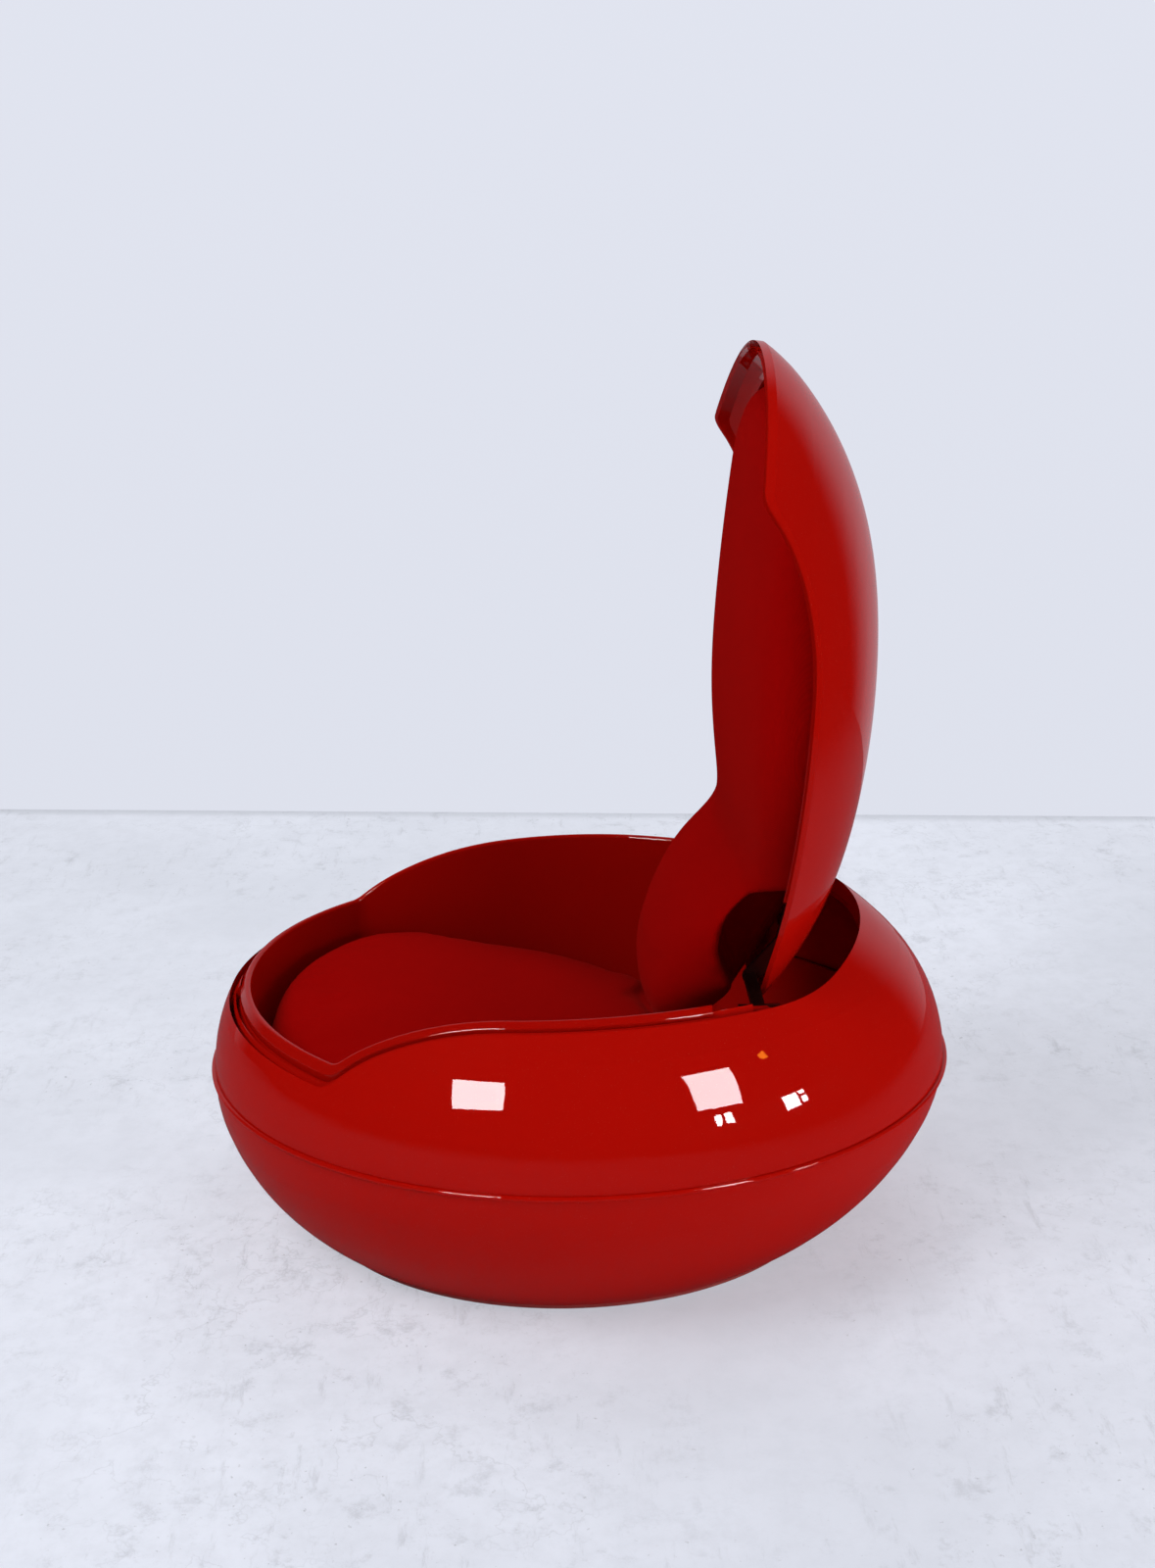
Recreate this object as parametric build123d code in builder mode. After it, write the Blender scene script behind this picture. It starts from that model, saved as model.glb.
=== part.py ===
from build123d import *
from math import asin, atan2, cos, degrees, hypot, radians, sin, sqrt, tan
import os

os.makedirs("parts", exist_ok=True)

# ---- driving dimensions, mm ----
half_width = 379.0        # upper shell at the equator, across
half_depth = 419.0        # the same, front to back
height = 440.0            # closed, floor to crown
equator = 189.7           # height of the widest line
lip_proud = 4.0           # lower shell's bead beyond the upper shell
bead_height = 6.0
body_wall = 5.0
lid_wall = 4.0
tub_wall = 4.0
foot_height = 8.0
foot_band = 24.0          # width of the foot ring
foot_shift = -14.5        # the foot stands forward of the equator's centre
floor_wall = 6.0
open_angle = 97.4

# rim, measured inwards from the parting line and down from the outer skin
lid_gap = 2.5
ridge_in, ridge_wide, ridge_crest = 4.5, 2.5, 5.5
lip_in, lip_wide, lip_crest = 12.0, 11.0, 7.0
lip_round = 3.5           # edge of the lip towards the seat
rebate_floor = 11.0
rebate_wall = 4.0
lid_ridge_in, lid_ridge_wide, lid_ridge_deep = 8.5, 1.7, 10.0
lid_inner_in, lid_inner_wide, lid_inner_deep = 25.5, 3.0, 12.0
seam_gap = 0.3
keeper_wide = 30.0        # block that bridges the groove at the front
keeper_crest = 5.0

# hinge
hinge_back = 0.5296       # share of the half depth
hinge_under = 22.35       # below the skin over the lid's arms
rim_to_hinge = 92.0       # the stepped rim stops this far before the hinge
arm_x = 130.0             # inner face of the lid's hinge arm
arm_wall = 6.0
arm_gap = 2.0             # lid arm to body ear
pin_radius = 4.0
bush_wall = 3.0
boss_radius = 10.0
fit_gap = 0.1
pocket_radius = 76.0      # room for the hinge in the back cushion
pocket_x = 102.0
foot_x = 236.0            # inner face of the tub's hinge blocks
screw_radius = 2.4

# cushions
seat_gap = 10.0           # seat cushion to the tub's wall
cover_wall = 2.0
pad_under_lid = 11.0
cushion_gap = 4.5         # between the closed back cushion and the seat
board_cover = 6.0         # foam over the back board
loop_reach = 34.0         # pull loop, out of the lid's inner face
loop_tall = 10.0
loop_wide = 12.0
loop_wall = 1.8

# ---- the shell is drawn round and then stretched front to back ----
stretch = half_depth / half_width
unit = half_width / 379.0
hinge_y = hinge_back * half_depth
rim_end = hinge_y - rim_to_hinge


def tangent_chain(start, arcs):
    """Centre, radius, headings and end of tangent arcs that turn left."""
    x, y = start
    heading = 90.0
    out = []
    for radius, end in arcs:
        a = radians(heading)
        b = radians(end)
        cx = x - radius * sin(a)
        cy = y + radius * cos(a)
        x = cx + radius * sin(b)
        y = cy - radius * cos(b)
        out.append((cx, cy, radius, heading, end, x, y))
        heading = end
    return out


def crown_chain(reach, rise, first, turn_1, turn_2):
    """Three tangent arcs from an upright start at the reach to a level crown on the axis."""
    s1, c1 = sin(radians(turn_1)), cos(radians(turn_1))
    s2, c2 = sin(radians(turn_2)), cos(radians(turn_2))
    slope = (1 + c2) / s2
    x1 = reach - first + first * s1
    z1 = -first * c1
    second = (rise - z1 - x1 * slope) / ((c1 - c2) + (s2 - s1) * slope)
    x2 = x1 + second * (s2 - s1)
    last = x2 / s2
    return tangent_chain((reach, 0), [(first, turn_1), (second, turn_2), (last, 180.0)])


top_rise = height - equator
top_chain = crown_chain(half_width, top_rise, 0.7731 * top_rise, 130.8, 166.66)
low_first = 0.8224 * equator
low_end = -low_first * cos(radians(109.26))
low_second = (equator - low_end) / (cos(radians(109.26)) - cos(radians(146.3)))
low_chain = tangent_chain((half_width, 0), [(low_first, 109.26), (low_second, 146.3)])
foot_radius = low_chain[-1][5] + 6.0


def top_arcs(inset):
    """Upper skin line, drawn in by the inset, from the equator to the crown."""
    line = None
    for cx, cy, radius, start, end, x, y in top_chain:
        line = CenterArc((cx, equator + cy), radius - inset, start - 90, end - start)
    return line


def low_arcs(inset):
    """Lower skin line from the equator down to the floor."""
    line = None
    for cx, cy, radius, start, end, x, y in low_chain:
        line = CenterArc((cx, equator - cy), radius - inset, 90 - start, start - end)
    return line


def skin_height(x, y, inset):
    """Height of the stretched upper skin, drawn in by the inset, above a point in plan."""
    r = hypot(x, y / stretch)
    for cx, cy, radius, start, end, ex, ey in reversed(top_chain):
        reach = radius - inset
        z = cy + sqrt(max(reach ** 2 - (r - cx) ** 2, 0.0))
        if degrees(atan2(r - cx, z - cy)) <= 180 - start:
            break
    return equator + z


def dome(outer, inner):
    """Round skin between two insets."""
    with BuildPart() as made:
        with BuildSketch(Plane.XZ):
            with BuildLine():
                out = top_arcs(outer)
                into = top_arcs(inner)
                Line(out @ 1, into @ 1)
                Line((half_width - outer, equator), (half_width - inner, equator))
            make_face()
        revolve(axis=Axis.Z)
    return made.part


def egg(inset, low_inset, floor):
    """Round solid inside both skins, down to the floor."""
    with BuildPart() as made:
        with BuildSketch(Plane.XZ):
            with BuildLine():
                crown = top_arcs(inset)
                toe = low_arcs(low_inset)
                Line((half_width - inset, equator), (half_width - low_inset, equator))
                Line(crown @ 1, (0, (toe @ 1).Y))
                Line((0, (toe @ 1).Y), toe @ 1)
            make_face()
            with Locations((0, floor)):
                Rectangle(2 * half_width, height, align=(Align.CENTER, Align.MAX), mode=Mode.SUBTRACT)
        revolve(axis=Axis.Z)
    return made.part


front_reach = 360.64 * unit
plan_front = [(369.2 * unit, 43.76), (47.25 * unit, 78.23)]
plan_side = 158.0 * unit
plan_back = [(344.7 * unit, 122.43), (196.5 * unit, 151.53)]


def plan_outline(inset):
    """Right half of the parting line in plan, drawn in by the inset, then mirrored."""
    x, y = 0.0, -front_reach
    heading = 0.0
    arcs = plan_front + [(0, 0)] + plan_back
    for radius, end in arcs:
        a = radians(heading)
        if radius == 0:
            nx = x + plan_side * cos(a)
            ny = y + plan_side * sin(a)
            shift = (-inset * sin(a), inset * cos(a))
            Line((x + shift[0], y + shift[1]), (nx + shift[0], ny + shift[1]))
            x, y = nx, ny
            continue
        b = radians(end)
        cx = x - radius * sin(a)
        cy = y + radius * cos(a)
        CenterArc((cx, cy), radius - inset, heading - 90, end - heading)
        x = cx + radius * sin(b)
        y = cy - radius * cos(b)
        heading = end
    last = x / sin(radians(180 - heading))
    CenterArc((0, y + last * cos(radians(heading))), last - inset, heading - 90, 180 - heading)
    mirror(about=Plane.YZ)


def plan_half(y, inset):
    """Half width of the parting outline, drawn in by the inset, at a true front-to-back place."""
    y = y / stretch
    x0, y0, heading = 0.0, -front_reach, 0.0
    for radius, end in plan_front + [(0, 0)] + plan_back + [(None, 180.0)]:
        a = radians(heading)
        if radius == 0:
            y1 = y0 + plan_side * sin(a)
            if y <= y1 + inset * cos(a):
                return x0 - inset * sin(a) + (y - y0 - inset * cos(a)) / tan(a)
            x0 += plan_side * cos(a)
            y0 = y1
            continue
        if radius is None:
            radius = x0 / sin(radians(180 - heading))
        b = radians(end)
        cx = x0 - radius * sin(a)
        cy = y0 + radius * cos(a)
        reach = radius - inset
        if y <= cy - reach * cos(b):
            return cx + sqrt(max(reach ** 2 - (y - cy) ** 2, 1.0))
        x0 = cx + radius * sin(b)
        y0 = cy - radius * cos(b)
        heading = end
    return 1.0


# seat cushion stations: share of its length from the front, and thickness over the tub's floor
seat_stations = [(0.003, 106), (0.02, 132), (0.06, 146), (0.13, 151), (0.27, 152), (0.4, 144), (0.55, 125),
                 (0.7, 104), (0.84, 85), (0.94, 70), (0.985, 58), (0.998, 42)]
# back cushion stations, closed: place as a share of the half depth, half width limit, thickness at its sides
back_stations = [(-0.827, 0.40, 20.4), (-0.80, 0.52, 34.5), (-0.74, 0.64, 43.1), (-0.62, 0.7, 43.6),
                 (-0.43, 0.7, 73.5), (-0.2, 0.7, 86.5), (0.05, 0.7, 82.4), (0.2, 0.64, 77.8),
                 (0.31, 0.57, 74.9), (0.37, 0.54, 77.0), (0.44, 0.53, 89.0), (0.52, 0.50, 84.5),
                 (0.62, 0.46, 86.3), (0.73, 0.40, 74.8), (0.80, 0.33, 54.0), (0.845, 0.25, 34.6)]
hinge_z = skin_height(arm_x, hinge_y, 0) - hinge_under
hinge_axis = Axis((0, hinge_y, hinge_z), (1, 0, 0))
rear_in = rebate_floor + rebate_wall + seam_gap


def back_top(share, wide, inset=0.0):
    """Closed back cushion at a station: place, half width, and its top at the centre line and at the sides."""
    y = share * half_depth
    half = wide * half_width - inset
    under_ring = y > hinge_y - 20
    if not under_ring:
        half = min(half, plan_half(y, 38.0) - inset)
    limit = hinge_z - (y - hinge_y) * 0.47 if y > hinge_y - 60 else height
    roof = rear_in + tub_wall if under_ring else lid_wall
    centre = min(skin_height(0, y, roof) - pad_under_lid, limit)
    sides = min(skin_height(half - 4, y, roof) - pad_under_lid, centre - 2)
    return y, half, centre, sides


def back_face(share, wide, thick):
    """Height of the closed back cushion's crowned face at a station."""
    return back_top(share, wide)[-1] - thick


over_seat = [back_face(*station) for station in back_stations if station[0] * half_depth < rim_end]
tub_floor = min(over_seat) - cushion_gap - max(thick for share, thick in seat_stations)


def prism(outer, inner=None, low=200.0):
    """Upright wall between two outlines, or one whole outline."""
    with BuildPart() as made:
        with BuildSketch(Plane.XY.offset(low)):
            with BuildLine():
                plan_outline(outer)
            make_face()
            if inner is not None:
                with BuildLine():
                    plan_outline(inner)
                make_face(mode=Mode.SUBTRACT)
        extrude(amount=height + 20 - low)
    return made.part


def half_space(y_round, ahead, low=0.0):
    """Block in front of or behind an upright plane, in the round drawing."""
    with BuildPart() as made:
        with Locations((0, y_round, low)):
            side = Align.MAX if ahead else Align.MIN
            Box(4 * half_width, 4 * half_width, 2 * height, align=(Align.CENTER, side, Align.MIN))
    return made.part


def rim_band(top, bottom, outer, inner, y_end):
    """Strip of the rim between two depths and two outlines, ahead of its end."""
    with BuildPart() as made:
        add(dome(top, bottom))
        add(prism(outer, inner), mode=Mode.INTERSECT)
        add(half_space(y_end, True), mode=Mode.INTERSECT)
    return made.part


round_end = rim_end / stretch
bar_y = hinge_y - 39.6
bar_z = hinge_z - 39.6
block_front, block_back = bar_y - 22.0, bar_y + 22.0
block_low, block_high = bar_z - 37.0, bar_z + 5.0
bracket_holes = [(bar_y - 12.0, bar_z - 26.0), (bar_y + 12.0, bar_z - 26.0)]
boss_low = hinge_z + 8.0
boss_front, boss_back = hinge_y - 64.0, hinge_y - 22.0
boss_wide = 22.0
arm_holes = [(arm_x - 11.0, boss_front + 11.0), (arm_x - 11.0, boss_back - 11.0)]
stretched = Matrix([[1, 0, 0, 0], [0, stretch, 0, 0], [0, 0, 1, 0]])
lean = -foot_shift / equator
leaned = Matrix([[1, 0, 0, 0], [0, stretch, lean, foot_shift], [0, 0, 1, 0]])


def opened(part):
    """A lid piece, drawn closed, turned to the open rest place."""
    return part.rotate(hinge_axis, -open_angle)


# ---- lower shell and foot ----
with BuildPart() as foot_ring:
    with BuildSketch():
        with Locations((0, foot_shift + lean * foot_height)):
            Ellipse(foot_radius, foot_radius * stretch)
            Ellipse(foot_radius - foot_band, foot_radius * stretch - foot_band, mode=Mode.SUBTRACT)
    extrude(amount=foot_height)
    chamfer(foot_ring.faces().sort_by(Axis.Z)[0].edges().sort_by(Edge.length)[-1], 1.5)
foot_ring.part.label = "foot_ring"
export_step(foot_ring.part, "parts/foot_ring.step")

with BuildPart() as base_shell:
    with BuildSketch(Plane.XZ):
        with BuildLine():
            out = low_arcs(0)
            into = low_arcs(body_wall)
            Line(out @ 1, into @ 1)
            Line((half_width, equator), (half_width - body_wall, equator))
        make_face()
        with Locations((0, foot_height)):
            Rectangle(2 * half_width, foot_height * 2, align=(Align.CENTER, Align.MAX), mode=Mode.SUBTRACT)
            Rectangle(foot_radius, floor_wall, align=(Align.MIN, Align.MIN))
        with Locations((half_width + (lip_proud - body_wall - bead_height) / 2, equator)):
            SlotOverall(lip_proud + body_wall + bead_height, bead_height)
        with Locations((half_width - body_wall - 2.0, equator)):
            Rectangle(3, 10, align=(Align.MAX, Align.MIN))
        with Locations((half_width - body_wall + 1, equator)):
            Rectangle(6.0, bead_height / 2, align=(Align.MAX, Align.MIN))
    revolve(axis=Axis.Z)
bowl = base_shell.part.transform_geometry(leaned)
bowl.label = "base_shell"
export_step(bowl, "parts/base_shell.step")

# ---- upper shell: skin, shoulder wall, rebate and thin ridge ----
rebate_deep = rebate_floor + rebate_wall
keeper_y = -half_width
with BuildPart() as ridge_bands:
    add(rim_band(ridge_crest, rebate_floor + 1, ridge_in, ridge_in + ridge_wide, round_end))
    with Locations((0, keeper_y, 0)):
        Box(keeper_wide + 1, half_width, 2 * height, mode=Mode.SUBTRACT)
with BuildPart() as top_shell:
    add(dome(0, body_wall))
    add(rim_band(0, rebate_deep, -body_wall, 0, 2 * half_width))
    add(prism(0), mode=Mode.SUBTRACT)
    add(rim_band(rebate_floor, rebate_deep, -1, lip_in + 5, round_end + 40))
    add(ridge_bands.part)
    with Locations((0, 0, equator + bead_height / 2 + seam_gap)):
        Box(4 * half_width, 4 * half_width, height, align=(Align.CENTER, Align.CENTER, Align.MAX),
            mode=Mode.SUBTRACT)
ring = top_shell.part.transform_geometry(stretched)
ring.label = "top_shell"
export_step(ring, "parts/top_shell.step")

# ---- seat tub: straight-walled seat well in front, deep rear well behind ----
wall_in = lip_in + lip_wide - tub_wall
with BuildPart() as tub_front:
    with BuildSketch(Plane.XY.offset(tub_floor - tub_wall)):
        with BuildLine():
            plan_outline(wall_in)
        make_face()
    extrude(amount=height)
    fillet(tub_front.faces().sort_by(Axis.Z)[0].edges(), 16.0)
    add(half_space(round_end, True), mode=Mode.INTERSECT)
with BuildPart() as tub_front_inside:
    with BuildSketch(Plane.XY.offset(tub_floor)):
        with BuildLine():
            plan_outline(wall_in + tub_wall)
        make_face()
    extrude(amount=height)
    fillet(tub_front_inside.faces().sort_by(Axis.Z)[0].edges(), 12.0)
    add(half_space(round_end + 1, True), mode=Mode.INTERSECT)
with BuildPart() as tub_rear:
    add(egg(rear_in, rear_in + 8, tub_floor - tub_wall))
    add(half_space(round_end - tub_wall, False), mode=Mode.INTERSECT)
with BuildPart() as tub_rear_inside:
    add(egg(rear_in + tub_wall, rear_in + 8 + tub_wall, tub_floor))
    add(half_space(round_end, False), mode=Mode.INTERSECT)
block_x = (foot_x + half_width) / 2
with BuildPart() as hinge_blocks:
    for x in (-block_x, block_x):
        with Locations((x, (block_front + block_back) / 2 / stretch, block_low)):
            Box(half_width - foot_x, (block_back - block_front) / stretch, block_high - block_low,
                align=(Align.CENTER, Align.CENTER, Align.MIN))
    add(egg(rear_in + 1, rear_in + 9, 0), mode=Mode.INTERSECT)
    for x in (-foot_x - 14, foot_x):
        with BuildSketch(Plane.YZ.offset(x)):
            for y, z in bracket_holes:
                with Locations((y / stretch, z)):
                    Ellipse((screw_radius + fit_gap) / stretch, screw_radius + fit_gap)
        extrude(amount=14, mode=Mode.SUBTRACT)


def on_lip(edge, inset):
    """True for a top edge of the lip that runs along the outline drawn in by the inset."""
    middle = edge @ 0.5
    ahead = abs(middle.X) < 1 and abs(middle.Y + front_reach - inset) < 1
    beside = abs(middle.X) > 1 and abs(abs(middle.X) - plan_half(middle.Y * stretch, inset)) < 1
    on_crest = abs(middle.Z - skin_height(middle.X, middle.Y * stretch, lip_crest)) < 0.05
    return on_crest and (ahead or beside)


with BuildPart() as lid_way:
    add(prism(0.6, None, equator + 40))
    add(half_space(round_end, False), mode=Mode.INTERSECT)
with BuildPart() as seat_tub:
    add(tub_front.part)
    add(egg(lip_crest, rear_in, 0), mode=Mode.INTERSECT)
    add(tub_rear.part)
    add(rim_band(lip_crest, rebate_floor - 0.2, lip_in, wall_in + 1, round_end))
    add(tub_front_inside.part, mode=Mode.SUBTRACT)
    add(tub_rear_inside.part, mode=Mode.SUBTRACT)
    add(lid_way.part, mode=Mode.SUBTRACT)
    add(hinge_blocks.part)
    fillet(seat_tub.edges().filter_by(lambda edge: on_lip(edge, lip_in + lip_wide)), lip_round)
    fillet(seat_tub.edges().filter_by(lambda edge: on_lip(edge, lip_in)), lip_round / 2)
tub = seat_tub.part.transform_geometry(stretched)
tub.label = "seat_tub"
export_step(tub, "parts/seat_tub.step")

# ---- lid: thin skin with the stepped rim that nests over the body's rim ----
with BuildPart() as lid_ridge:
    add(rim_band(lid_wall - 1, lid_ridge_deep, lid_ridge_in, lid_ridge_in + lid_ridge_wide, round_end))
    with Locations((0, keeper_y, 0)):
        Box(keeper_wide + 6, half_width, 2 * height, mode=Mode.SUBTRACT)
with BuildPart() as arm_bosses:
    for x in (-arm_x + boss_wide / 2, arm_x - boss_wide / 2):
        with Locations((x, (boss_front + boss_back) / 2 / stretch, boss_low)):
            Box(boss_wide, (boss_back - boss_front) / stretch, 60,
                align=(Align.CENTER, Align.CENTER, Align.MIN))
    add(egg(lid_wall - 1, lid_wall, 0), mode=Mode.INTERSECT)
    with BuildSketch(Plane.XY.offset(boss_low)):
        for side in (-1, 1):
            for x, y in arm_holes:
                with Locations((side * x, y / stretch)):
                    Ellipse(screw_radius + fit_gap, (screw_radius + fit_gap) / stretch)
    extrude(amount=9, mode=Mode.SUBTRACT)
with BuildPart() as lid_shell:
    add(dome(0, lid_wall))
    add(prism(lid_gap), mode=Mode.INTERSECT)
    add(arm_bosses.part)
    add(lid_ridge.part)
    add(rim_band(lid_wall - 1, lid_inner_deep, lid_inner_in, lid_inner_in + lid_inner_wide, round_end))
lid = opened(lid_shell.part.transform_geometry(stretched))
lid.label = "lid_shell"
export_step(lid, "parts/lid_shell.step")


# ---- cushions: lofts of lines and arcs, flat side to the shell, crowned side to the sitter ----
def pad_section(y, half, root, face, corner, turn, draw, up, bow):
    """Cushion outline at one station: crowned face, round corners, drawn-in sides, flat or bowed root."""
    corner = min(corner, half * 0.4, abs(face - root) * 0.6)
    draw = min(draw, half * 0.1)
    a = radians(turn)
    inner = half - corner * (1 - sin(a))
    shoulder = face - up * inner * tan(a / 2)
    side = shoulder - up * corner * cos(a)
    cx = half - corner
    mid = (radians(90) + a) / 2
    mx, mz = cx + corner * sin(mid), side + up * corner * cos(mid)
    heel_x = half - draw
    with BuildSketch(Plane.XZ.offset(-y)) as made:
        with BuildLine():
            ThreePointArc((-inner, shoulder), (0, face), (inner, shoulder))
            ThreePointArc((inner, shoulder), (mx, mz), (half, side))
            Line((half, side), (heel_x, root))
            if bow:
                ThreePointArc((heel_x, root), (0, root + bow), (-heel_x, root))
            else:
                Line((heel_x, root), (-heel_x, root))
            Line((-heel_x, root), (-half, side))
            ThreePointArc((-half, side), (-mx, mz), (-inner, shoulder))
        make_face()
    return made.sketch


seat_front = -(front_reach - lip_in - lip_wide) * stretch + seat_gap
seat_length = rim_end - 10.0 - seat_front


def seat_form(inset):
    """Seat cushion, drawn in by the inset."""
    sections = []
    for share, thick in seat_stations:
        y = seat_front + inset + share * (seat_length - 2 * inset)
        half = plan_half(y - inset * (1 - 2 * share), lip_in + lip_wide + seat_gap) - inset
        face = tub_floor + thick - inset
        sections.append(pad_section(y, half, tub_floor + 0.3 + inset, face, 28, 4, 6, 1, 0))
    with BuildPart() as made:
        loft(sections)
    return made.part


def back_form(inset):
    """Back cushion with its lumbar roll, drawn closed and drawn in by the inset."""
    sections = []
    first, last = back_stations[0][0], back_stations[-1][0]
    middle = (first + last) / 2
    squeeze = 1 - 2 * inset / ((last - first) * half_depth)
    for share, wide, thick in back_stations:
        face = back_face(share, wide, thick) + inset
        y, half, centre, sides = back_top(middle + (share - middle) * squeeze, wide, inset)
        sections.append(pad_section(y, half, sides - inset, face, 52, 10, 4, -1, centre - sides))
    reach = half_width - pocket_x
    with BuildPart() as made:
        loft(sections)
        for side in (-1, 1):
            with Locations((side * (pocket_x - inset + reach / 2), hinge_y, hinge_z)):
                Cylinder(pocket_radius + inset, reach, rotation=(0, 90, 0), mode=Mode.SUBTRACT)
    return made.part


with BuildPart() as seat_foam:
    add(seat_form(cover_wall))
seat_foam.part.label = "seat_foam"
export_step(seat_foam.part, "parts/seat_foam.step")

with BuildPart() as seat_cover:
    add(seat_form(0))
    add(seat_foam.part, mode=Mode.SUBTRACT)
seat_cover.part.label = "seat_cover"
export_step(seat_cover.part, "parts/seat_cover.step")

board_wide, board_long = 0.66 * half_width, 0.68 * half_depth
board_y = -0.1 * half_depth
board_skin = [skin_height(board_wide / 2, board_y + side * board_long / 2, lid_wall) for side in (-1, 1)]
board_top = min(board_skin) - pad_under_lid - board_cover
with BuildPart() as back_board:
    with BuildSketch(Plane.XY.offset(board_top - 10)):
        with Locations((0, board_y)):
            RectangleRounded(board_wide, board_long, 0.12 * half_width)
    extrude(amount=10)
board = opened(back_board.part)
board.label = "back_board"
export_step(board, "parts/back_board.step")

with BuildPart() as back_core:
    add(back_form(cover_wall))
with BuildPart() as back_foam:
    add(back_core.part)
    add(back_board.part, mode=Mode.SUBTRACT)
foam = opened(back_foam.part)
foam.label = "back_foam"
export_step(foam, "parts/back_foam.step")

with BuildPart() as back_cover:
    add(back_form(0))
    add(back_core.part, mode=Mode.SUBTRACT)
cover = opened(back_cover.part)
cover.label = "back_cover"
export_step(cover, "parts/back_cover.step")

# ---- hinge ----
ear_x = arm_x + arm_wall + arm_gap
stop_reach = 24.0
stop_buffer = 5.0
heel = 4.0
stop_turn = 225 + open_angle + degrees(2 * asin((stop_buffer + heel + 2 * seam_gap) / (2 * stop_reach))) + 1.5


def around_hinge(reach, turn):
    """Place in the side view at a reach and angle about the hinge."""
    return (hinge_y + reach * cos(radians(turn)), hinge_z + reach * sin(radians(turn)))


def web(x, ends):
    """Plate that wraps two round ends, given as place and radius, at one side of the hinge."""
    with BuildPart() as made:
        with BuildSketch(Plane.YZ.offset(x)):
            for place, radius in ends:
                with Locations(place):
                    Circle(radius)
            make_hull()
        extrude(amount=arm_wall)
    return made.part


with BuildPart() as hinge_arm:
    add(web(arm_x, [((hinge_y, hinge_z), boss_radius), ((boss_front + 6, boss_low - 6), 6)]))
    add(web(arm_x, [((hinge_y, hinge_z), boss_radius - 2), (around_hinge(stop_reach, stop_turn), heel)]))
    with Locations((arm_x - boss_wide, boss_front, boss_low - 4)):
        Box(boss_wide + arm_wall, boss_back - boss_front, 4, align=(Align.MIN, Align.MIN, Align.MIN))
    with Locations((arm_x, hinge_y, hinge_z)):
        Cylinder(pin_radius + fit_gap, 4 * arm_wall, rotation=(0, 90, 0), mode=Mode.SUBTRACT)
    with Locations(*[(x, y, boss_low) for x, y in arm_holes]):
        Cylinder(screw_radius + fit_gap, 20, mode=Mode.SUBTRACT)
arm_left = opened(hinge_arm.part)
arm_left.label = "hinge_arm_left"
export_step(arm_left, "parts/hinge_arm_left.step")
arm_right = opened(hinge_arm.part.mirror(Plane.YZ))
arm_right.label = "hinge_arm_right"
export_step(arm_right, "parts/hinge_arm_right.step")

bush_radius = pin_radius + fit_gap + bush_wall
with BuildPart() as hinge_bracket:
    add(web(ear_x, [((hinge_y, hinge_z), boss_radius + 1), ((bar_y, bar_z), 8)]))
    with Locations((ear_x, hinge_y, hinge_z)):
        Cylinder(bush_radius + 0.05, 4 * arm_wall, rotation=(0, 90, 0), mode=Mode.SUBTRACT)
    with Locations((ear_x, bar_y, bar_z)):
        Box(foot_x - ear_x, 13, 9, align=(Align.MIN, Align.CENTER, Align.CENTER))
    with Locations((foot_x, (block_front + block_back) / 2, block_low)):
        Box(arm_wall, block_back - block_front, block_high - block_low,
            align=(Align.MAX, Align.CENTER, Align.MIN))
    with Locations(*[(foot_x, y, z) for y, z in bracket_holes]):
        Cylinder(screw_radius + fit_gap, 30, rotation=(0, 90, 0), mode=Mode.SUBTRACT)
hinge_bracket.part.label = "hinge_bracket_left"
export_step(hinge_bracket.part, "parts/hinge_bracket_left.step")
bracket_right = hinge_bracket.part.mirror(Plane.YZ)
bracket_right.label = "hinge_bracket_right"
export_step(bracket_right, "parts/hinge_bracket_right.step")


def across(x, y, z, radius, length):
    """Round bar along X, the same on both sides of the chair."""
    for side in (-1, 1):
        with Locations((side * (x + length / 2), y, z)):
            Cylinder(radius, length, rotation=(0, 90, 0))


with BuildPart() as hinge_bushes:
    across(ear_x - 1.4, hinge_y, hinge_z, bush_radius, arm_wall + 1.8)
    with Locations((0, hinge_y, hinge_z)):
        Cylinder(pin_radius + fit_gap, 2 * half_width, rotation=(0, 90, 0), mode=Mode.SUBTRACT)
hinge_bushes.part.label = "hinge_bushes"
export_step(hinge_bushes.part, "parts/hinge_bushes.step")

with BuildPart() as hinge_pins:
    across(arm_x - 3.4, hinge_y, hinge_z, 7, 3.3)
    across(arm_x - 1, hinge_y, hinge_z, pin_radius, arm_wall * 2 + arm_gap + 5)
    across(ear_x + arm_wall + 0.7, hinge_y, hinge_z, 6.5, 4)
hinge_pins.part.label = "hinge_pins"
export_step(hinge_pins.part, "parts/hinge_pins.step")

buffer_y, buffer_z = around_hinge(stop_reach, 225)
with BuildPart() as stop_buffers:
    across(arm_x + 0.5, buffer_y, buffer_z, stop_buffer, arm_wall + arm_gap - 0.5)
stop_buffers.part.label = "stop_buffers"
export_step(stop_buffers.part, "parts/stop_buffers.step")

with BuildPart() as bracket_screws:
    for y, z in bracket_holes:
        across(foot_x - arm_wall - 2.7, y, z, 4.4, 2.7)
        across(foot_x - arm_wall - 1, y, z, screw_radius, arm_wall + 12)
bracket_screws.part.label = "bracket_screws"
export_step(bracket_screws.part, "parts/bracket_screws.step")

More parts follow.
